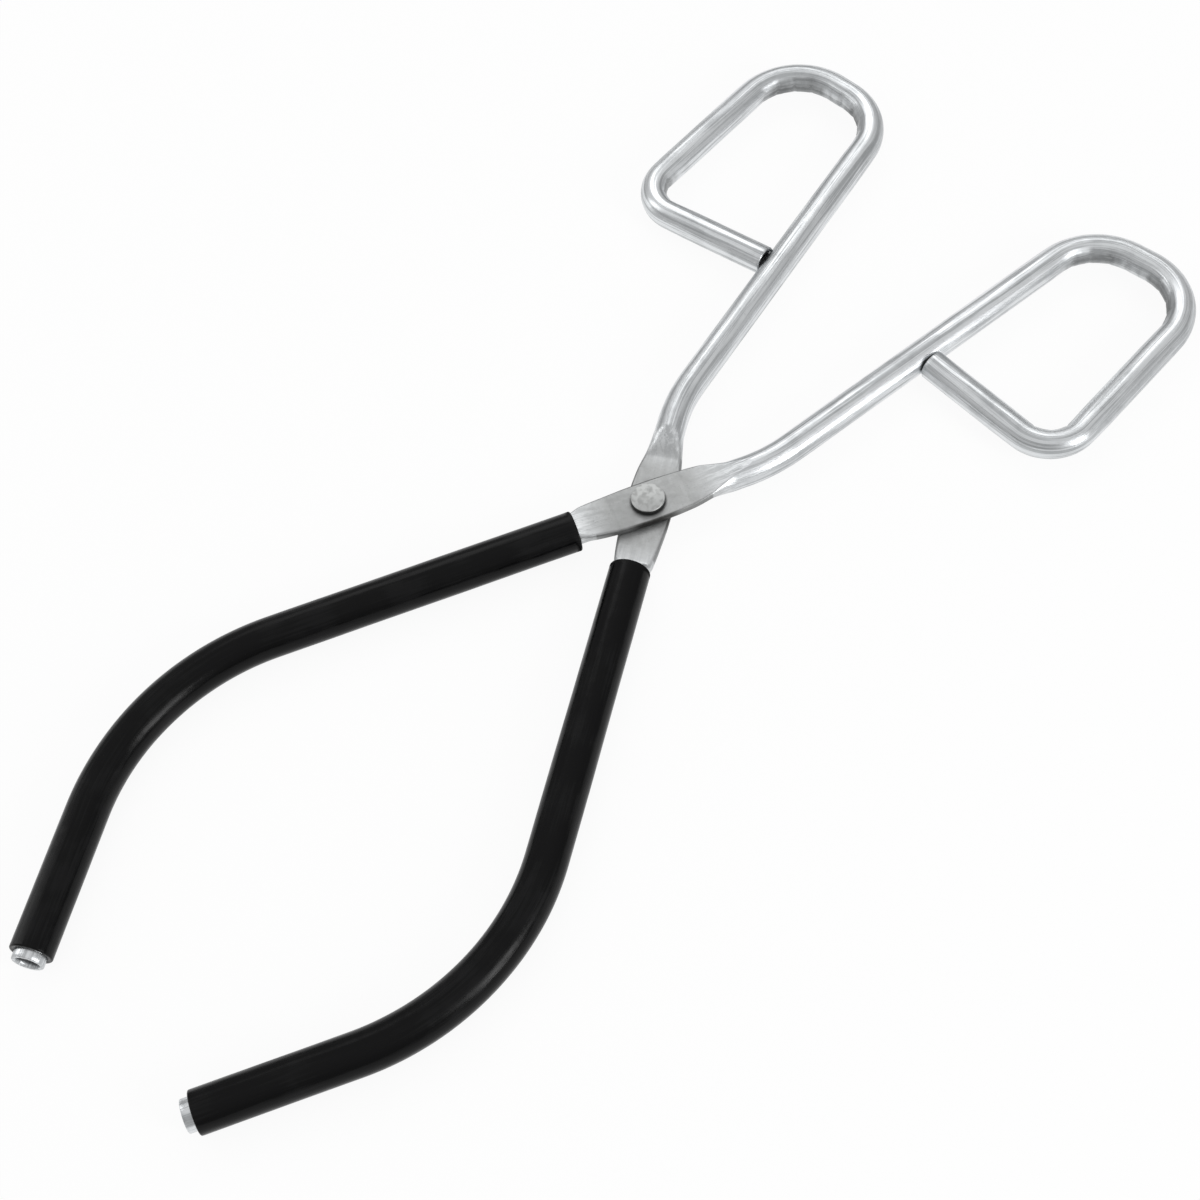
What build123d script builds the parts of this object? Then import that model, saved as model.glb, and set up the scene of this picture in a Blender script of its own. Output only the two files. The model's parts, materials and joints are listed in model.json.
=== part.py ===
from build123d import *
from math import pi, radians, tan
import os

# Beaker tongs: two bent steel tubes crossed on one rivet, with a soft sleeve over each jaw.
# Millimetres and degrees. X runs across the tongs, Y from the jaws to the finger loops, +Z is up.
# Both arms are the same bent tube, one of them turned over, so that their flats lie face to face.
# They are drawn at rest about the rivet, with both tubes' axes at height zero.

# steel tube
tube_diameter = 7.0
tube_wall = 0.8
end_chamfer = 0.2

# one arm from the rivet to the tip of its jaw: straight, one wide bend, straight
arm_slant = 62.15
shank_length = 88.8
belly_radius = 58.0
belly_angle = 56.5
grip_length = 35.0

# the same arm from the rivet along its leg, round the finger loop and back to the leg
neck_length = 23.1
neck_radius = 40.0
neck_angle = 18.1
leg_length = 82.0
crown_radius = 15.0
inner_crown_angle = 77.9
crown_length = 4.6
outer_crown_angle = 92.6
outer_leg_length = 34.3
corner_radius = 9.0
corner_angle = 96.6
loop_gap = 0.8

# the tube pressed flat for the rivet, and its shoulders back to round: the face that meets the
# other arm drops steeply at the heel, and the outer face rises to the tube's crown in one slope
closing_turn = 15.0
press_gap = 0.2
mating_gap = 0.1
head_land = 4.6
seat_margin = 0.3
seat_rise = 0.8
heel_run = 2.4
heel_press = 1.8
heel_lift = 0.6
round_run = 2.6
crown_reach = 22.5

# rivet
rivet_diameter = 4.0
rivet_running_clearance = 0.05
rivet_head_diameter = 7.8
rivet_head_height = 1.7
rivet_rim_height = 0.9
rivet_head_play = 0.05
rivet_tail_diameter = 7.0
rivet_tail_height = 1.2
rivet_tail_rim = 0.4

# soft sleeve over each jaw
sleeve_wall = 1.2
sleeve_setback = 3.8
sleeve_edge_round = 0.3
bare_tip = 2.0

tube_radius = tube_diameter / 2
sleeve_radius = tube_radius + sleeve_wall

# a pressed tube keeps its girth, so it grows wider as it is pressed thinner
girth = pi * (tube_diameter - tube_wall)


def pressed_width(height):
    return height + (girth - pi * (height - tube_wall)) / 2


# the flat stays flat past the far corner of the lozenge where the closed arms cross
flat_thickness = 2 * tube_wall + press_gap
flat_top = mating_gap / 2 + flat_thickness
closed_crossing = 180 - 2 * arm_slant - closing_turn
flat_reach = rivet_head_diameter / 2 + head_land
seat_reach = pressed_width(flat_thickness) / 2 / tan(radians(closed_crossing / 2)) + seat_margin
seat_height = flat_thickness + seat_rise
heel_reach = seat_reach + heel_run
heel_height = tube_diameter - heel_press
round_reach = heel_reach + round_run
sleeve_start = seat_reach + sleeve_setback

# the way out of the rivet to the handle, and the plane square to an arm at a distance that way
outward = Vector(1, 0).rotate(Axis.Z, arm_slant)


def across_arm(reach):
    return Plane(origin=outward * reach, x_dir=outward.rotate(Axis.Z, 90), z_dir=outward)


def pressed_section(reach, middle, height, inset):
    """Outline of the pressed tube, or of its bore with an inset: two flat sides, two round ends."""
    end_radius = height / 2 - inset
    half_side = (pressed_width(height) - height) / 2
    with BuildSketch(across_arm(reach)) as section:
        with BuildLine():
            right = CenterArc((half_side, middle), end_radius, -90, 180)
            Line(right @ 1, (-half_side, middle + end_radius))
            left = CenterArc((-half_side, middle), end_radius, 90, 180)
            Line(left @ 1, right @ 0)
        make_face()
    return section.sketch


def round_section(reach, inset):
    """Outline of the round tube or its bore, as four arcs that meet the pressed one's four edges."""
    with BuildSketch(across_arm(reach)) as section:
        with BuildLine():
            for start in (-45, 45, 135, 225):
                CenterArc((0, 0), tube_radius - inset, start, 90)
        make_face()
    return section.sketch


# centreline of the jaw from a distance out along its shank, with a length of grip past the bend
def jaw_line(start_reach, last_length):
    with BuildLine() as line:
        shank = Line(outward * -start_reach, outward * -shank_length)
        belly = JernArc(shank @ 1, shank % 1, belly_radius, belly_angle)
        PolarLine(belly @ 1, last_length, direction=belly % 1)
    return line.line


# centreline of the handle: the loop's bar ends just short of the leg that it turned away from
with BuildLine() as handle_line:
    neck = Line(outward * round_reach, outward * neck_length)
    neck_bend = JernArc(neck @ 1, neck % 1, neck_radius, neck_angle)
    leg = PolarLine(neck_bend @ 1, leg_length, direction=neck_bend % 1)
    inner_crown = JernArc(leg @ 1, leg % 1, crown_radius, -inner_crown_angle)
    crown = PolarLine(inner_crown @ 1, crown_length, direction=inner_crown % 1)
    outer_crown = JernArc(crown @ 1, crown % 1, crown_radius, -outer_crown_angle)
    outer_leg = PolarLine(outer_crown @ 1, outer_leg_length, direction=outer_crown % 1)
    corner = JernArc(outer_leg @ 1, outer_leg % 1, corner_radius, -corner_angle)
    to_leg = IntersectingLine(corner @ 1, corner % 1, leg, mode=Mode.PRIVATE)
    PolarLine(corner @ 1, to_leg.length - tube_radius - loop_gap, direction=corner % 1)

tube_lines = (jaw_line(round_reach, grip_length), handle_line.line)


def pressed_rod(inset):
    """One arm as a solid rod: the outside of its tube, or with an inset of the wall its bore."""
    flat_middle = flat_top - flat_thickness / 2
    seat_middle = mating_gap / 2 + seat_height / 2
    with BuildPart() as rod:
        for line in tube_lines:
            with BuildSketch(Plane(origin=line @ 0, z_dir=line % 0)):
                Circle(tube_radius - inset)
            sweep(path=line)
        for side in (1, -1):
            flat_end = pressed_section(side * flat_reach, flat_middle, flat_thickness, inset)
            seat_end = pressed_section(side * seat_reach, seat_middle, seat_height, inset)
            heel = pressed_section(side * heel_reach, heel_lift, heel_height, inset)
            loft([flat_end, seat_end], ruled=True)
            loft([seat_end, heel, round_section(side * round_reach, inset)])
        # the outer face is pressed in one slope, from the flat up to the tube's crown
        side_view = Plane(origin=(0, 0, -inset), x_dir=outward, z_dir=outward.rotate(Axis.Z, -90))
        with BuildSketch(side_view):
            for side in (1, -1):
                Polygon(
                    (side * flat_reach, flat_top),
                    (side * crown_reach, tube_radius),
                    (side * crown_reach, tube_diameter),
                    (side * flat_reach, tube_diameter),
                    align=None,
                )
        extrude(amount=tube_diameter, both=True, mode=Mode.SUBTRACT)
    return rod.part


# the bent and pressed tube that both arms start from, still without its rivet hole
with BuildPart() as bent_tube:
    add(pressed_rod(0))
    with BuildSketch(across_arm(0)):
        with Locations((0, flat_top - flat_thickness / 2)):
            SlotOverall(pressed_width(flat_thickness), flat_thickness)
    extrude(amount=flat_reach, both=True)
    add(pressed_rod(tube_wall), mode=Mode.SUBTRACT)
    for line in tube_lines:
        chamfer(bent_tube.edges().filter_by(GeomType.CIRCLE).sort_by_distance(line @ 1)[:2], end_chamfer)

with BuildPart() as upper_arm:
    add(bent_tube.part)
    with Locations((0, 0, flat_top)):
        Hole(rivet_diameter / 2 + rivet_running_clearance, flat_thickness)

with BuildPart() as lower_arm:
    add(bent_tube.part, rotation=(0, 180, 0))
    with Locations((0, 0, -mating_gap / 2)):
        Hole(rivet_diameter / 2, flat_thickness)


def dome_radius(rim_radius, rise):
    return (rim_radius**2 + rise**2) / (2 * rise)


# rivet, turned about its axis: a low dome on the upper flat, a flatter tail closed on the lower one
with BuildPart() as pivot_rivet:
    shank_radius = rivet_diameter / 2
    tail_radius = rivet_tail_diameter / 2
    head_radius = rivet_head_diameter / 2
    tail_rise = rivet_tail_height - rivet_tail_rim
    head_rise = rivet_head_height - rivet_rim_height
    head_seat = flat_top + rivet_head_play
    with BuildSketch(Plane.XZ):
        with BuildLine():
            Polyline(
                (tail_radius, -flat_top - rivet_tail_rim),
                (tail_radius, -flat_top),
                (shank_radius, -flat_top),
                (shank_radius, head_seat),
                (head_radius, head_seat),
                (head_radius, head_seat + rivet_rim_height),
            )
            tail_foot = (0, -flat_top - rivet_tail_height)
            head_top = (0, head_seat + rivet_head_height)
            tail_edge = (tail_radius, -flat_top - rivet_tail_rim)
            head_edge = (head_radius, head_seat + rivet_rim_height)
            RadiusArc(tail_edge, tail_foot, dome_radius(tail_radius, tail_rise))
            RadiusArc(head_edge, head_top, -dome_radius(head_radius, head_rise))
            Line(tail_foot, head_top)
        make_face()
    revolve(axis=Axis.Z)

# soft sleeve, pushed up to the heel of the flat and stopping short of the tip
with BuildPart() as upper_jaw_sleeve:
    line = jaw_line(sleeve_start, grip_length - bare_tip)
    with BuildSketch(Plane(origin=line @ 0, z_dir=line % 0)):
        Circle(sleeve_radius)
    sweep(path=line)
    rims = upper_jaw_sleeve.edges().filter_by(GeomType.CIRCLE).sort_by(Axis.Y)
    fillet([rims[0], rims[-1]], sleeve_edge_round)
    add(pressed_rod(0), mode=Mode.SUBTRACT)

with BuildPart() as lower_jaw_sleeve:
    add(upper_jaw_sleeve.part, rotation=(0, 180, 0))

# the origin is under the middle of the tongs, where they lie on their sleeves
pieces = {
    "upper_arm": upper_arm.part,
    "lower_arm": lower_arm.part,
    "pivot_rivet": pivot_rivet.part,
    "upper_jaw_sleeve": upper_jaw_sleeve.part,
    "lower_jaw_sleeve": lower_jaw_sleeve.part,
}
box = (Part() + list(pieces.values())).bounding_box()
set_down = Pos(-box.center().X, -box.center().Y, -box.min.Z)

os.makedirs("parts", exist_ok=True)
for name, piece in pieces.items():
    placed = set_down * piece
    placed.label = name
    export_step(placed, f"parts/{name}.step")
print("the rivet stands at", set_down.position)
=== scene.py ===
import json
import math

import bmesh
import bpy
import numpy as np
from mathutils import Matrix, Vector


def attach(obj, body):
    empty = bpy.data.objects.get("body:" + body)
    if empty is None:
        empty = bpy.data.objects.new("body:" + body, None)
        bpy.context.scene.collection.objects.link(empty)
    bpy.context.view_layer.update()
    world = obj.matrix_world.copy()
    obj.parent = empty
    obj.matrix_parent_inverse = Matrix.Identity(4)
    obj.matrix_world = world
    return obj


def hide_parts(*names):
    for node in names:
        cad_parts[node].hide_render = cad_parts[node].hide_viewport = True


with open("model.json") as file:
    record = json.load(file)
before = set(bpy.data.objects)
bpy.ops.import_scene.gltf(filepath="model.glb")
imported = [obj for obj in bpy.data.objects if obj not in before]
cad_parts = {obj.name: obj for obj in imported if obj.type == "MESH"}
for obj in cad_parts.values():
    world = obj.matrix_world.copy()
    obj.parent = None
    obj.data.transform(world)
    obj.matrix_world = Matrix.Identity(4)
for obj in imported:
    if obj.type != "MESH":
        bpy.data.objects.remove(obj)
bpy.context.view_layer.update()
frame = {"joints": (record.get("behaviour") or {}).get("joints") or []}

mm = 0.001
rivetAt = Vector(frame["joints"][0]["pos_m"])  # the rivet's axis, level with both tubes' centrelines
print("frame loaded, rivet at", [round(v, 5) for v in rivetAt])


# a wrapped socket: an expression on it adds the Math nodes that work it out
class Sock:
    def __init__(self, desk, socket):
        self.desk = desk
        self.socket = socket

    def maths(self, operation, left, right):
        return self.desk.node("ShaderNodeMath", {"operation": operation}, {0: left, 1: right})

    def __add__(self, other):
        return self.maths("ADD", self, other)

    def __radd__(self, other):
        return self.maths("ADD", other, self)

    def __sub__(self, other):
        return self.maths("SUBTRACT", self, other)

    def __rsub__(self, other):
        return self.maths("SUBTRACT", other, self)

    def __mul__(self, other):
        return self.maths("MULTIPLY", self, other)

    def __rmul__(self, other):
        return self.maths("MULTIPLY", other, self)

    def larger(self, other):
        return self.maths("MAXIMUM", self, other)


# one material's or world's nodes
class Desk:
    def __init__(self, tree):
        self.tree = tree
        tree.nodes.clear()

    # any node: its type, its settings, then the values or links of its sockets
    def node(self, kind, settings=None, sockets=None, out=0):
        made = self.tree.nodes.new(kind)
        for name, value in (settings or {}).items():
            setattr(made, name, value)
        for name, value in (sockets or {}).items():
            if isinstance(value, Sock):
                self.tree.links.new(value.socket, made.inputs[name])
            else:
                made.inputs[name].default_value = value
        return Sock(self, made.outputs[out]) if made.outputs else made

    def mixColour(self, amount, first, second):
        sockets = {0: amount, 6: first, 7: second}
        return self.node("ShaderNodeMix", {"data_type": "RGBA"}, sockets, out=2)

    def scaled(self, vector, factors):
        sockets = {0: vector, 1: factors}
        return self.node("ShaderNodeVectorMath", {"operation": "MULTIPLY"}, sockets)

    def length(self, vector):
        return self.node("ShaderNodeVectorMath", {"operation": "LENGTH"}, {0: vector}, out="Value")

    def noise(self, vector, scale, detail=3.0, roughness=0.55):
        sockets = {"Vector": vector, "Scale": scale, "Detail": detail, "Roughness": roughness}
        return self.node("ShaderNodeTexNoise", {}, sockets)

    # a soft step from 0 to 1 between two values
    def step(self, value, low, high):
        sockets = {"Value": value, "From Min": low, "From Max": high}
        return self.node("ShaderNodeMapRange", {"interpolation_type": "SMOOTHSTEP"}, sockets)

    def attribute(self, name, out="Fac"):
        return self.node("ShaderNodeAttribute", {"attribute_name": name}, out=out)

    def bump(self, height, strength, depth):
        sockets = {"Height": height, "Strength": strength, "Distance": depth}
        return self.node("ShaderNodeBump", {}, sockets)

    def principled(self, sockets):
        shader = self.node("ShaderNodeBsdfPrincipled", {}, sockets)
        self.node("ShaderNodeOutputMaterial", {}, {"Surface": shader})


def newMaterial(name):
    material = bpy.data.materials.new(name)
    material.use_nodes = True
    return material, Desk(material.node_tree)


# plated steel: drawn streaks on the tube, satin where pressed, and painted shade in the bore, on the pressed
# edges, round the rivet and where the arms cross;
# scales are per millimetre, across, up and along the tube, and ranges are where a pattern starts and is full
steelLook = {
    "bright": (0.775, 0.795, 0.81, 1.0),
    "dull": (0.42, 0.435, 0.445, 1.0),
    "satin": (0.43, 0.437, 0.435, 1.0),
    "dark": (0.05, 0.05, 0.048, 1.0),
    "roughness": 0.28,
    "satinRoughness": 0.20,
    "reliefStrength": 0.5,
    "reliefDepth": 0.05 * mm,
    "streakScale": (1.1, 1.1, 0.02),
    "fineStreakScale": (3.6, 3.6, 0.07),
    "cloudScale": 0.16,
    "hammerScale": 0.7,
    "speckScale": 2.8,
    "streakRange": (0.43, 0.58),
    "patchRange": (0.44, 0.66),
    "speckRange": (0.64, 0.74),
    "creaseDarkRange": (0.15, 1.0),
    "rivetShadeRange": (3.8, 4.5),  # millimetres from the rivet: painted shade round its head
    "crossingShadeRange": (6.0, 8.5),  # and painted contact shadow on the edges where the other arm crosses
}


def platedSteel():
    look = steelLook
    material, desk = newMaterial("platedSteel")
    tube = desk.attribute("tubeSpace", "Vector")  # millimetres: across and up in the tube, then along it
    pressed = desk.attribute("pressed")
    creased = desk.attribute("creased")
    shadedEdge = desk.attribute("shadedEdge")
    shadedBore = desk.attribute("shadedBore")

    streaks = desk.noise(desk.scaled(tube, look["streakScale"]), 1.0, 4.0)
    fineStreaks = desk.noise(desk.scaled(tube, look["fineStreakScale"]), 1.0, 2.0)
    clouds = desk.noise(tube, look["cloudScale"], 4.0, 0.6)
    hammered = desk.noise(tube, look["hammerScale"], 3.0)
    specks = desk.step(desk.noise(tube, look["speckScale"], 2.0, 0.5), *look["speckRange"])
    patches = desk.step(clouds, *look["patchRange"])
    drawn = desk.step(streaks * 0.6 + fineStreaks * 0.4, *look["streakRange"])
    drawn = drawn * (1.0 - pressed * 0.8)

    fromRivet = desk.length(desk.scaled(tube, (1.0, 0.0, 1.0)))
    # painted shade: a contact shadow on the flats round the rivet's head
    rivetShade = 1.0 - desk.step(fromRivet, *look["rivetShadeRange"])
    # painted shade: a contact shadow on the pressed edges where the two flats cross
    crossingShade = 1.0 - desk.step(fromRivet, *look["crossingShadeRange"])
    # darker, rougher and with a little relief in the creases inside tight bends
    creaseDarkening = desk.step(creased * (0.45 + clouds), *look["creaseDarkRange"])
    marks = creaseDarkening * 0.62 + specks * 0.2 + pressed * patches * 0.12
    # specks, patches and crease darkening, plus painted shade on the pressed edges, round the rivet and in
    # the bore
    marksAndPaintedShade = marks + shadedEdge * (0.45 + crossingShade * 0.5) + rivetShade * 0.7 + shadedBore * 0.85

    colour = desk.mixColour(drawn * 0.8 + patches * 0.2, look["bright"], look["dull"])
    colour = desk.mixColour(pressed * (0.75 + hammered * 0.4), colour, look["satin"])
    colour = desk.mixColour(marksAndPaintedShade, colour, look["dark"])
    rough = look["roughness"] + drawn * 0.08 + patches * 0.05 + creaseDarkening * 0.2 + shadedBore * 0.3
    rough = rough + pressed * look["satinRoughness"]
    height = drawn * 0.7 - specks * 0.2 + pressed * hammered * 2.2 + creaseDarkening * fineStreaks
    normal = desk.bump(height, look["reliefStrength"], look["reliefDepth"])
    desk.principled({"Base Color": colour, "Metallic": 1.0, "Roughness": rough, "Normal": normal})
    return material


# rivet steel, struck rather than drawn, with painted shade on the head's side wall as a dark line under the
# head
rivetLook = {
    "bright": (0.50, 0.51, 0.505, 1.0),
    "worn": (0.38, 0.385, 0.38, 1.0),
    "dark": (0.04, 0.04, 0.04, 1.0),
    "roughness": 0.38,
    "reliefStrength": 0.6,
    "strikeDepth": 0.06 * mm,
    "strikeScale": 0.6,
    "grainScale": 5.0,
    "wornRange": (0.42, 0.66),
}


def rivetSteel():
    look = rivetLook
    material, desk = newMaterial("rivetSteel")
    place = desk.attribute("tubeSpace", "Vector")
    shadedEdge = desk.attribute("shadedEdge")
    strikes = desk.noise(place, look["strikeScale"], 2.0)
    grain = desk.noise(place, look["grainScale"], 4.0)
    worn = desk.step(strikes, *look["wornRange"])
    colour = desk.mixColour(worn * 0.7 + grain * 0.2, look["bright"], look["worn"])
    # painted shade on the head's side wall
    colour = desk.mixColour(shadedEdge * (0.75 + grain * 0.3), colour, look["dark"])
    rough = look["roughness"] + worn * 0.12 + grain * 0.08
    normal = desk.bump(strikes + grain * 0.15, look["reliefStrength"], look["strikeDepth"])
    desk.principled({"Base Color": colour, "Metallic": 1.0, "Roughness": rough, "Normal": normal})
    return material


# soft black sleeve, glossy where it is handled and dull with dust elsewhere
sleeveLook = {
    "black": (0.0012, 0.0012, 0.0014, 1.0),
    "dusty": (0.008, 0.008, 0.0085, 1.0),
    "roughness": 0.18,
    "specular": 0.14,
    "reliefStrength": 0.6,
    "rippleDepth": 0.16 * mm,
    "drawnScale": (1.1, 1.1, 0.04),
    "rippleScale": 0.20,
    "handledScale": 0.07,
    "speckScale": 3.2,
    "scuffRange": (0.46, 0.62),
    "speckRange": (0.68, 0.76),
}


def softBlack():
    look = sleeveLook
    material, desk = newMaterial("softBlackSleeve")
    tube = desk.attribute("tubeSpace", "Vector")
    drawn = desk.noise(desk.scaled(tube, look["drawnScale"]), 1.5, 3.0)
    ripples = desk.noise(tube, look["rippleScale"], 2.0, 0.4)
    handled = desk.noise(tube, look["handledScale"], 4.0, 0.6)
    specks = desk.step(desk.noise(tube, look["speckScale"], 2.0), *look["speckRange"])
    scuffs = desk.step(handled * 0.6 + drawn * 0.4, *look["scuffRange"])
    colour = desk.mixColour(scuffs * 0.5 + specks * 0.5, look["black"], look["dusty"])
    rough = look["roughness"] + scuffs * 0.12 + drawn * 0.06
    height = ripples + drawn * 0.22 + specks * 0.05
    normal = desk.bump(height, look["reliefStrength"], look["rippleDepth"])
    shine = look["specular"]
    desk.principled(
        {"Base Color": colour, "Roughness": rough, "Normal": normal, "Specular IOR Level": shine}
    )
    return material


# the bent tube, in millimetres and degrees, from the rivet outward
armShape = {
    "slant": 62.15,
    "jaw": [("run", 88.8), ("bend", 58.0, 56.5), ("run", 35.0)],
    "handle": [
        ("run", 23.1),
        ("bend", 40.0, 18.1),
        ("run", 82.0),
        ("bend", 15.0, -77.9),
        ("run", 4.6),
        ("bend", 15.0, -92.6),
        ("run", 34.3),
        ("bend", 9.0, -96.6),
        ("run", 28.0),
    ],
    "radius": 3.5,
    "wall": 0.8,
    "ringPoints": 80,
    "cornerPoints": 20,
    "stationStep": 0.9,
    "pressedStep": 0.35,
    "lip": 0.2,
    "mouthRings": [(0.05, -0.1), (0.0, -0.25), (0.0, -0.6)],  # back from the end, and into the wall
    "nearBore": [0.1, 1.0, 2.0],  # rings of the bore just inside the loop's end
    "farBore": [1.0, 0.1],  # and just inside the jaw's tip
    "boreStep": 3.0,
    "boreShade": 7.0,  # how far daylight gets into the bore
    "bendSquash": 0.20,
    "bendEasing": 5.0,
    "bendSamples": 9,
    "tightFrom": 0.02,  # curvature per millimetre at which the inside of a bend starts to wrinkle
    "tightSpan": 0.045,
    "wrinkle": 0.35,
    "wrinkleRate": 1.15,
}

# the pressed flat at a few distances from the rivet; its outer face rises to the crown in one slope
pressedShape = {
    "handleReach": [0.0, 4.0, 9.0, 13.4, 16.8, 20.4],
    "jawReach": [0.0, 4.0, 9.0, 15.0, 17.8, 20.8],
    "width": [10.8, 10.7, 10.1, 8.9, 7.8, 7.0],
    "top": [1.85, 1.85, 1.95, 2.65, 3.2, 3.5],
    "bottom": [0.05, 0.05, 0.05, 0.05, -1.7, -3.5],
    "topRound": [0.35, 0.35, 0.4, 0.9, 2.4, 3.5],
    "bottomRound": [0.4, 0.4, 0.5, 1.0, 2.4, 3.5],
    "leastRound": 0.05,
    "slopeFrom": 8.5,
    "slopeTo": 25.5,
    "satinReach": [0, 8.5, 14, 22],
    "satin": [1, 1, 0.6, 0],
    "edgeBand": 0.45,  # width of the painted shade along the flat's edges, and how softly it ends
    "edgeFade": 0.3,
    "edgeSatin": 0.6,  # the painted edge shade ends where the satin falls below this
}

# soft sleeve, in millimetres from the rivet along the jaw
sleeveShape = {
    "start": 17.54,
    "bareTip": 2.0,
    "wall": 1.2,
    "slack": 0.03,
    "lip": 0.35,
    "lipRings": 6,
    "ringPoints": 80,
    "stationStep": 1.0,
    "uneven": 0.035,
    "waveSpans": (9.0, 15.0, 23.0, 5.5),
    "upperSeed": 3,
    "lowerSeed": 7,
}


def headed(angle):
    return np.array([math.cos(angle), math.sin(angle)])


# walks the runs and bends and gives a place, heading and curvature at any distance from the rivet
class Centreline:
    def __init__(self, segments, heading):
        self.pieces = []
        point = np.zeros(2)
        distance = 0.0
        for segment in segments:
            turn = math.radians(segment[2]) if segment[0] == "bend" else 0.0
            length = segment[1] * abs(turn) if turn else segment[1]
            bent = turn / length
            self.pieces.append((distance, length, point, heading, bent))
            point, heading = self.inside(self.pieces[-1], length)
            distance += length
        self.length = distance

    def inside(self, piece, travelled):
        start, length, point, heading, bent = piece
        ahead = heading + bent * travelled
        if bent:
            swung = [math.sin(ahead) - math.sin(heading), math.cos(heading) - math.cos(ahead)]
            return point + np.array(swung) / bent, ahead
        return point + headed(heading) * travelled, ahead

    def at(self, distance):
        for piece in self.pieces:
            if distance <= piece[0] + piece[1] + 1e-9:
                break
        point, heading = self.inside(piece, distance - piece[0])
        return point, heading, piece[4]


slant = math.radians(armShape["slant"])
jawLine = Centreline(armShape["jaw"], slant - math.pi)
handleLine = Centreline(armShape["handle"], slant)


# place on the whole arm: a negative distance is on the jaw, and the heading always runs to the handle
def armAt(distance):
    if distance < 0:
        point, heading, bent = jawLine.at(-distance)
        return point, heading + math.pi, -bent
    return handleLine.at(distance)


# smooth curve through a few values that never overshoots them
def eased(places, values, at):
    places = np.array(places)
    values = np.array(values)
    slopes = np.diff(values) / np.diff(places)
    tangents = np.zeros(len(values))
    for i in range(1, len(values) - 1):
        if slopes[i - 1] * slopes[i] > 0:
            tangents[i] = 2 * slopes[i - 1] * slopes[i] / (slopes[i - 1] + slopes[i])
    i = int(np.clip(np.searchsorted(places, at) - 1, 0, len(slopes) - 1))
    gap = places[i + 1] - places[i]
    t = min(max((at - places[i]) / gap, 0.0), 1.0)
    rise = (2 * t**3 - 3 * t**2 + 1) * values[i] + (3 * t**2 - 2 * t**3) * values[i + 1]
    return rise + gap * ((t**3 - 2 * t**2 + t) * tangents[i] + (t**3 - t**2) * tangents[i + 1])


# outline with rounded corners, sampled evenly from the middle of its top: across, up
def outline(width, bottom, top, topRound, bottomRound, count):
    half = width / 2
    corners = [
        (half - topRound, top - topRound, topRound, 90, 0),
        (half - bottomRound, bottom + bottomRound, bottomRound, 0, -90),
        (-half + bottomRound, bottom + bottomRound, bottomRound, -90, -180),
        (-half + topRound, top - topRound, topRound, 180, 90),
    ]
    points = [(0.0, top)]
    for across, up, radius, first, last in corners:
        for angle in np.radians(np.linspace(first, last, armShape["cornerPoints"])):
            points.append((across + radius * math.cos(angle), up + radius * math.sin(angle)))
    points.append((0.0, top))
    across, up = np.array(points).T
    travelled = np.concatenate([[0], np.cumsum(np.hypot(np.diff(across), np.diff(up)))])
    at = np.linspace(0, travelled[-1], count, endpoint=False)
    return np.column_stack([np.interp(at, travelled, across), np.interp(at, travelled, up)])


# section of the tube at a distance from the rivet; grow is negative for the inside of the wall
def armSection(distance, count, grow=0.0):
    reach = abs(distance)
    shape = pressedShape
    keys = shape["jawReach"] if distance < 0 else shape["handleReach"]
    width, bottom, top, topRound, bottomRound = [
        eased(keys, shape[name], reach)
        for name in ("width", "bottom", "top", "topRound", "bottomRound")
    ]
    roundest = (top - bottom) / 2 + grow
    topRound, bottomRound = [
        min(max(edge + grow, shape["leastRound"]), roundest)
        for edge in (topRound, bottomRound)
    ]
    ring = outline(width + 2 * grow, bottom - grow, top + grow, topRound, bottomRound, count)
    risen = (reach - shape["slopeFrom"]) / (shape["slopeTo"] - shape["slopeFrom"])
    if 0 < risen < 1:
        slope = shape["top"][0] + risen * (armShape["radius"] - shape["top"][0]) + grow
        ring[:, 1] = np.minimum(ring[:, 1], slope)
    return ring


# curvature of the centreline, spread over a few millimetres as a bending die leaves it
def easedBend(distance):
    reach = armShape["bendEasing"]
    spread = np.linspace(distance - reach, distance + reach, armShape["bendSamples"])
    spread = np.clip(spread, -jawLine.length, handleLine.length)
    return sum(armAt(d)[2] for d in spread) / len(spread)


# a mesh from rings that all have the same number of points, with the attributes that the finishes
# read; its last ring joins the first, or both are closed with a face
def skin(name, rings, attributes, looped):
    mesh = bpy.data.meshes.new(name)
    count = len(rings[0])
    verts = np.concatenate(rings)
    faces = []
    for r in range(len(rings) if looped else len(rings) - 1):
        here = r * count
        there = (r + 1) % len(rings) * count
        for k in range(count):
            nextK = (k + 1) % count
            faces.append((here + k, here + nextK, there + nextK, there + k))
    if not looped:
        faces.append(tuple(range(count - 1, -1, -1)))
        faces.append(tuple(range(len(verts) - count, len(verts))))
    mesh.from_pydata([tuple(v) for v in verts], [], faces)
    for label, values in attributes.items():
        values = np.concatenate(values).astype(np.float32)
        kind = "FLOAT_VECTOR" if values.ndim == 2 else "FLOAT"
        layer = mesh.attributes.new(label, kind, "POINT")
        layer.data.foreach_set("vector" if kind == "FLOAT_VECTOR" else "value", values.ravel())
    shaped = bmesh.new()
    shaped.from_mesh(mesh)
    bmesh.ops.recalc_face_normals(shaped, faces=shaped.faces)
    shaped.to_mesh(mesh)
    shaped.free()
    mesh.shade_smooth()
    piece = bpy.data.objects.new(name, mesh)
    bpy.context.collection.objects.link(piece)
    return piece


# puts a ring of (across, up) on the arm's centreline, in the frame, and turns the lower arm over
def placeRing(ring, distance, turnedOver):
    point, heading, bent = armAt(distance)
    side = headed(heading + math.pi / 2)
    flat = point[None, :] + ring[:, :1] * side[None, :]
    over = -1 if turnedOver else 1
    placed = np.column_stack([over * flat[:, 0], flat[:, 1], over * ring[:, 1]]) * mm
    return placed + np.array(rivetAt)


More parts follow.
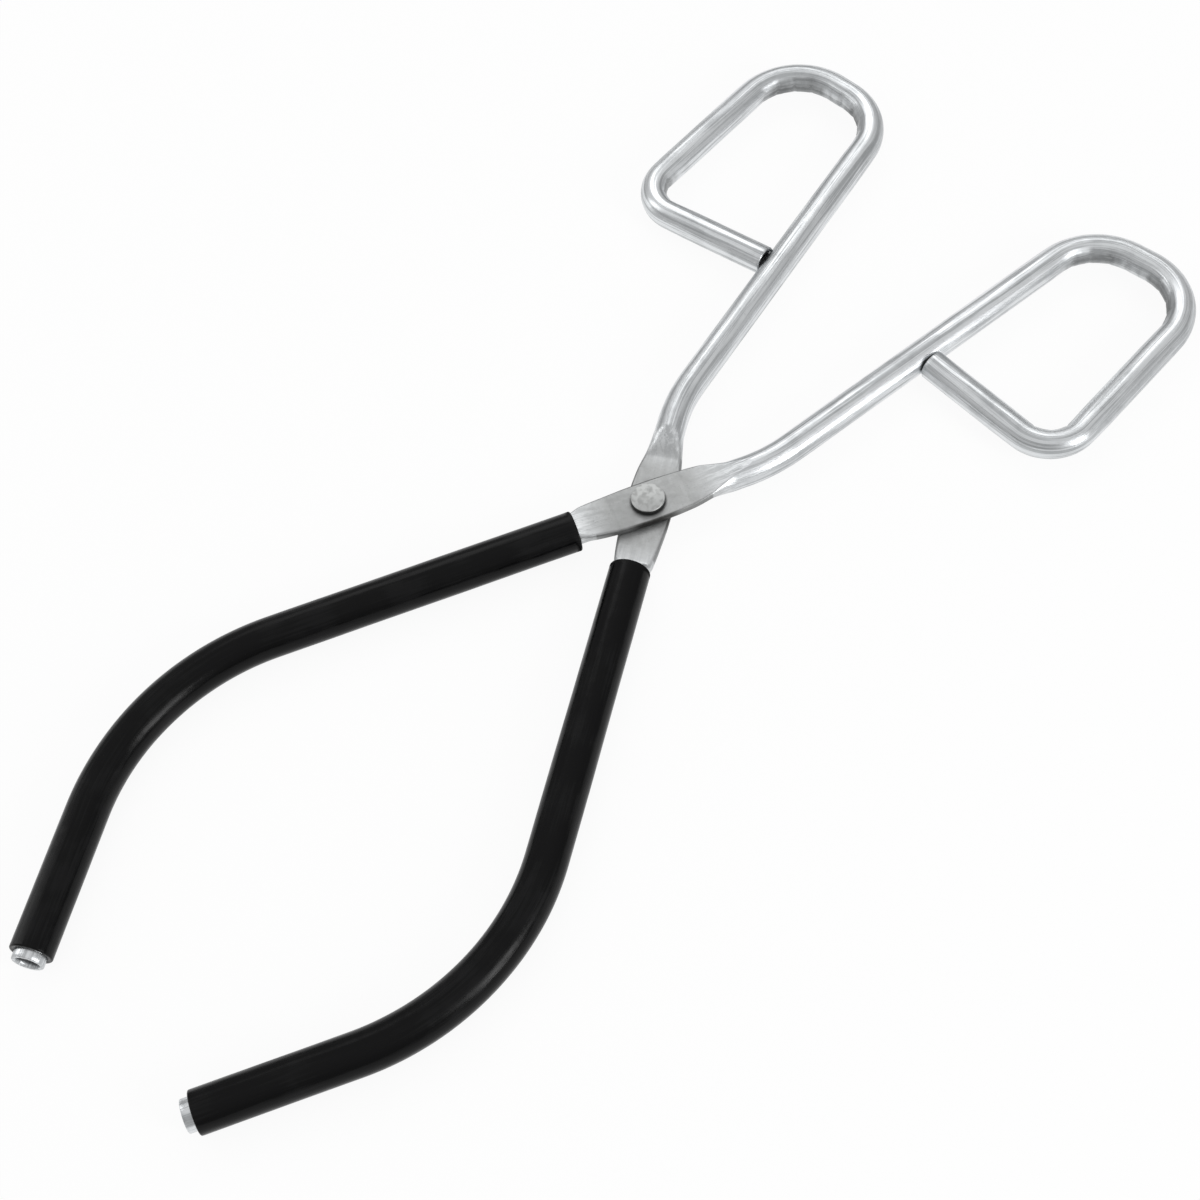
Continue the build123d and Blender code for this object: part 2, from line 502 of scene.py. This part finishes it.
# one closed skin: over the outside from the jaw's tip to the loop's end, and back through the bore
def bentTube(name, turnedOver):
    shape = armShape
    count = shape["ringPoints"]
    lip = shape["lip"]
    first = -jawLine.length
    last = handleLine.length
    pressed = pressedShape["slopeTo"] + 1
    rings = []
    attributes = {"tubeSpace": [], "pressed": [], "creased": [], "shadedEdge": [], "shadedBore": []}

    # one ring, squashed and wrinkled as its bend is tight, and what the finish should know of it
    def addRing(distance, grow=0.0, shadedBore=0.0):
        ring = armSection(distance, count, grow)
        bent = easedBend(distance)
        inside = np.clip(ring[:, 0] * np.sign(bent) / shape["radius"], 0, 1)
        tight = min(max((abs(bent) - shape["tightFrom"]) / shape["tightSpan"], 0.0), 1.0)
        ripple = max(math.sin(distance * shape["wrinkleRate"]), 0.0) ** 3
        ring[:, 0] *= 1 - shape["bendSquash"] * abs(bent) * shape["radius"]
        ring[:, 0] -= np.sign(bent) * shape["wrinkle"] * tight * ripple * inside**3
        satin = eased(pressedShape["satinReach"], pressedShape["satin"], abs(distance))
        # painted shade on the side faces of the pressed flat
        edge = np.abs(ring[:, 0]) - ring[:, 0].max() + pressedShape["edgeBand"]
        edge = np.clip(edge / pressedShape["edgeFade"], 0, 1) * (satin > pressedShape["edgeSatin"])
        rings.append(placeRing(ring, distance, turnedOver))
        attributes["tubeSpace"].append(np.column_stack([ring, np.full(count, distance)]))
        attributes["pressed"].append(np.full(count, satin))
        attributes["creased"].append(tight * inside**2)
        attributes["shadedEdge"].append(edge * (1 - shadedBore))
        attributes["shadedBore"].append(np.full(count, shadedBore))

    for setBack, grow in reversed(shape["mouthRings"]):
        addRing(first + setBack, grow)
    for distance in np.arange(first + lip, -pressed, shape["stationStep"]):
        addRing(distance)
    for distance in np.arange(-pressed, pressed, shape["pressedStep"]):
        addRing(distance)
    for distance in np.arange(pressed, last - lip, shape["stationStep"]):
        addRing(distance)
    for setBack, grow in [(lip, 0.0)] + shape["mouthRings"]:
        addRing(last - setBack, grow)
    through = last - first
    inside = np.arange(shape["boreStep"], through, shape["boreStep"])
    # rings deep in the bore carry painted shade, darker where less daylight gets in
    for depth in np.concatenate([shape["nearBore"], inside, through - np.array(shape["farBore"])]):
        daylight = min(depth, through - depth)
        addRing(last - depth, -shape["wall"], min(daylight / shape["boreShade"], 1.0))
    return skin(name, rings, attributes, looped=True)


# one closed skin: over the outside from the rivet's end to the tip, and back along the tube
def jawSleeve(name, turnedOver):
    shape = sleeveShape
    radius = armShape["radius"] + shape["wall"]
    count = shape["ringPoints"]
    lip = shape["lip"]
    spans = shape["waveSpans"]
    start = -shape["start"]
    end = -jawLine.length + shape["bareTip"]
    draws = np.random.default_rng(shape["lowerSeed"] if turnedOver else shape["upperSeed"])
    phases = draws.uniform(0, 2 * math.pi, len(spans))
    angles = np.linspace(0, 2 * math.pi, count, endpoint=False)
    circle = np.column_stack([np.sin(angles), np.cos(angles)])
    rings = []
    places = []

    def addRing(ring, distance):
        rings.append(placeRing(ring, distance, turnedOver))
        places.append(np.column_stack([ring, np.full(count, distance)]))

    # the outside, a little uneven along its length, and never wider than the plain tube
    def outerRing(distance, shrink=0.0):
        waves = sum(math.sin(distance / span + phase) for span, phase in zip(spans, phases))
        sunk = shape["uneven"] * (1 - waves / len(spans))
        addRing(circle * (radius - sunk - shrink), distance)

    steps = np.arange(start - lip, end + lip, -shape["stationStep"])
    lipAngles = np.radians(np.linspace(0, 90, shape["lipRings"]))
    for angle in lipAngles:
        outerRing(start - lip * (1 - math.cos(angle)), lip * (1 - math.sin(angle)))
    for distance in steps:
        outerRing(distance)
    for angle in lipAngles:
        outerRing(end + lip * (1 - math.sin(angle)), lip * (1 - math.cos(angle)))
    for distance in np.concatenate([[end], steps[::-1], [start]]):
        addRing(armSection(distance, count, shape["slack"]), distance)
    return skin(name, rings, {"tubeSpace": places}, looped=True)


# solid rivet, in millimetres: a domed head on the upper flat and a flatter tail under the lower one
rivetShape = {
    "headRadius": 3.9,
    "headHeight": 1.7,
    "headRim": 1.15,
    "headRound": 0.25,
    "headTurn": 60,
    "headPlay": 0.05,
    "shankRadius": 2.0,
    "tailRadius": 3.5,
    "tailHeight": 1.2,
    "tailRim": 0.4,
    "flatTop": 1.85,
    "bevel": 0.1,
    "domeInset": 0.05,
    "domeMiddle": 0.02,
    "roundRings": 6,
    "domeRings": 12,
    "ringPoints": 96,
    "sunk": 0.010,  # how far the struck outline stays inside the round one
    "lobes": [(0.006, 3, 1.0), (0.004, 7, 0.0)],  # depth, how many round the rivet, and turned by
}


# the outline of a dome from its rim to nearly its middle: radius, height
def domePoints(radius, foot, rise):
    ball = (radius**2 + rise**2) / (2 * rise)
    widest = math.asin(min(radius / ball, 1.0))
    angles = np.linspace(widest, rivetShape["domeMiddle"], rivetShape["domeRings"])
    return [(ball * math.sin(a), foot + rise - ball * (1 - math.cos(a))) for a in angles]


def pivotRivet():
    s = rivetShape
    seat = s["flatTop"] + s["headPlay"]
    corner = s["headRound"]
    bevel = s["bevel"]
    head = [(s["headRadius"] - bevel, seat), (s["headRadius"], seat + bevel)]
    for angle in np.radians(np.linspace(0, s["headTurn"], s["roundRings"])):
        edgeRadius = s["headRadius"] - corner * (1 - math.cos(angle))
        edgeHeight = seat + s["headRim"] + corner * math.sin(angle)
        head.append((edgeRadius, edgeHeight))
    headTop = seat + s["headHeight"]
    headDome = domePoints(edgeRadius - s["domeInset"], edgeHeight, headTop - edgeHeight)
    tailFoot = s["flatTop"] + s["tailRim"]
    tailDome = domePoints(s["tailRadius"], tailFoot, s["tailHeight"] - s["tailRim"])
    profile = [(radius, -height) for radius, height in reversed(tailDome)]
    profile += [(s["tailRadius"], -s["flatTop"] - bevel), (s["tailRadius"] - bevel, -s["flatTop"])]
    profile += [(s["shankRadius"], -s["flatTop"]), (s["shankRadius"], seat)]
    profile += head + headDome

    count = s["ringPoints"]
    angles = np.linspace(0, 2 * math.pi, count, endpoint=False)
    lobes = sum(depth * np.sin(angles * lobed + turned) for depth, lobed, turned in s["lobes"])
    struck = 1 - s["sunk"] + lobes
    rings = []
    attributes = {"tubeSpace": [], "shadedEdge": []}
    for radius, height in profile:
        across = radius * struck
        ring = np.column_stack([across * np.cos(angles), across * np.sin(angles), np.full(count, height)])
        attributes["tubeSpace"].append(ring)
        # the head's side wall is marked for painted shade
        attributes["shadedEdge"].append(np.full(count, float(0 <= height - seat < s["headRim"])))
        rings.append(ring * mm + np.array(rivetAt))
    return skin("rivetPiece", rings, attributes, looped=False)


steel = platedSteel()
black = softBlack()
struckSteel = rivetSteel()
print("materials made")

dressed = [
    (bentTube("upperTube", False), "upper_arm", "upper_half", "plated_tube", steel),
    (bentTube("lowerTube", True), "lower_arm", "lower_half", "plated_tube", steel),
    (jawSleeve("upperSleeve", False), "upper_jaw_sleeve", "upper_half", "jaw_sleeve", black),
    (jawSleeve("lowerSleeve", True), "lower_jaw_sleeve", "lower_half", "jaw_sleeve", black),
    (pivotRivet(), "pivot_rivet", "lower_half", "rivet_steel", struckSteel),
]
for piece, node, body, slot, material in dressed:
    piece.data.materials.append(material)
    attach(piece, body)
    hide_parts(node)
    print("dressed", node, "with", len(piece.data.polygons), "faces")


# white floor and pale surroundings, in metres
stageLook = {
    "floorSize": 6.0,
    "floorDrop": 0.0002,
    "floor": (0.95, 0.95, 0.95, 1.0),
    "glow": (1.0, 1.0, 1.0, 1.0),
    "shadowKept": 0.08,
    "worldZenith": 0.78,
    "worldHorizon": 0.36,
}


# white to the camera and in reflections, with a little of the object's shadow kept
def whiteFloor():
    material, desk = newMaterial("paleFloor")
    seen = desk.node("ShaderNodeLightPath", out="Is Camera Ray")
    glossy = desk.node("ShaderNodeLightPath", out="Is Glossy Ray")
    through = desk.node("ShaderNodeLightPath", out="Is Transmission Ray")
    whitened = seen.larger(glossy).larger(through) * (1.0 - stageLook["shadowKept"])
    plain = desk.node("ShaderNodeBsdfDiffuse", {}, {"Color": stageLook["floor"]})
    glow = desk.node("ShaderNodeEmission", {}, {"Color": stageLook["glow"], "Strength": 1.0})
    shader = desk.node("ShaderNodeMixShader", {}, {0: whitened, 1: plain, 2: glow})
    desk.node("ShaderNodeOutputMaterial", {}, {"Surface": shader})
    return material


def addFloor():
    half = stageLook["floorSize"] / 2
    low = -stageLook["floorDrop"]
    mesh = bpy.data.meshes.new("floor")
    corners = [(-half, -half, low), (half, -half, low), (half, half, low), (-half, half, low)]
    mesh.from_pydata(corners, [], [(0, 1, 2, 3)])
    floor = bpy.data.objects.new("floor", mesh)
    bpy.context.collection.objects.link(floor)
    floor.data.materials.append(whiteFloor())


# white to the camera; what the metal sees fades from the zenith down to the horizon
def addWorld():
    world = bpy.data.worlds.new("studio")
    bpy.context.scene.world = world
    world.use_nodes = True
    desk = Desk(world.node_tree)
    way = desk.node("ShaderNodeTexCoord", out="Generated")
    up = desk.node("ShaderNodeSeparateXYZ", {}, {0: way}, out="Z")
    fade = {"To Min": stageLook["worldHorizon"], "To Max": stageLook["worldZenith"]}
    level = desk.node("ShaderNodeMapRange", {}, {"Value": up, "From Min": 0.0, "From Max": 1.0, **fade})
    seen = desk.node("ShaderNodeLightPath", out="Is Camera Ray")
    strength = level + seen * (1.0 - level)
    ground = desk.node("ShaderNodeBackground", {}, {"Color": stageLook["glow"], "Strength": strength})
    desk.node("ShaderNodeOutputWorld", {}, {"Surface": ground})


# lamps: place in metres, size in metres, power in watts
lampSet = {
    "behind": {"place": (-0.55, 0.60, 0.75), "size": (0.9, 0.45), "power": 1.6},
    "nearSide": {"place": (0.85, 0.13, 0.38), "size": (0.28, 0.40), "power": 3.0},
    "farSide": {"place": (-0.75, -0.35, 0.40), "size": (0.25, 0.8), "power": 1.0},
}


def addLamps():
    for name, lamp in lampSet.items():
        data = bpy.data.lights.new(name, "AREA")
        data.shape = "RECTANGLE"
        data.size, data.size_y = lamp["size"]
        data.energy = lamp["power"]
        made = bpy.data.objects.new(name, data)
        bpy.context.collection.objects.link(made)
        made.location = lamp["place"]
        made.rotation_euler = (-Vector(lamp["place"])).to_track_quat("-Z", "Y").to_euler()


# camera: place, aim and clipping in metres, roll in degrees, lens and sensor in millimetres
cameraSet = {
    "place": (0.19323, -0.16322, 0.39840),
    "aim": (0.00822, -0.00733, 0.0047),
    "roll": 9.03,
    "lens": 63.056,
    "sensor": 36.0,
    "clip": (0.01, 20.0),
}


def addCamera():
    data = bpy.data.cameras.new("camera")
    data.lens = cameraSet["lens"]
    data.sensor_width = cameraSet["sensor"]
    data.clip_start, data.clip_end = cameraSet["clip"]
    camera = bpy.data.objects.new("camera", data)
    bpy.context.collection.objects.link(camera)
    place = Vector(cameraSet["place"])
    look = (Vector(cameraSet["aim"]) - place).to_track_quat("-Z", "Y").to_matrix()
    roll = Matrix.Rotation(math.radians(-cameraSet["roll"]), 3, "Z")
    camera.matrix_world = Matrix.Translation(place) @ (look @ roll).to_4x4()
    bpy.context.scene.camera = camera
    return camera


addFloor()
addWorld()
addLamps()
camera = addCamera()
bpy.context.scene.view_settings.view_transform = "Standard"
print("stage set, camera axes", [[round(v, 4) for v in row] for row in camera.matrix_world.to_3x3()])
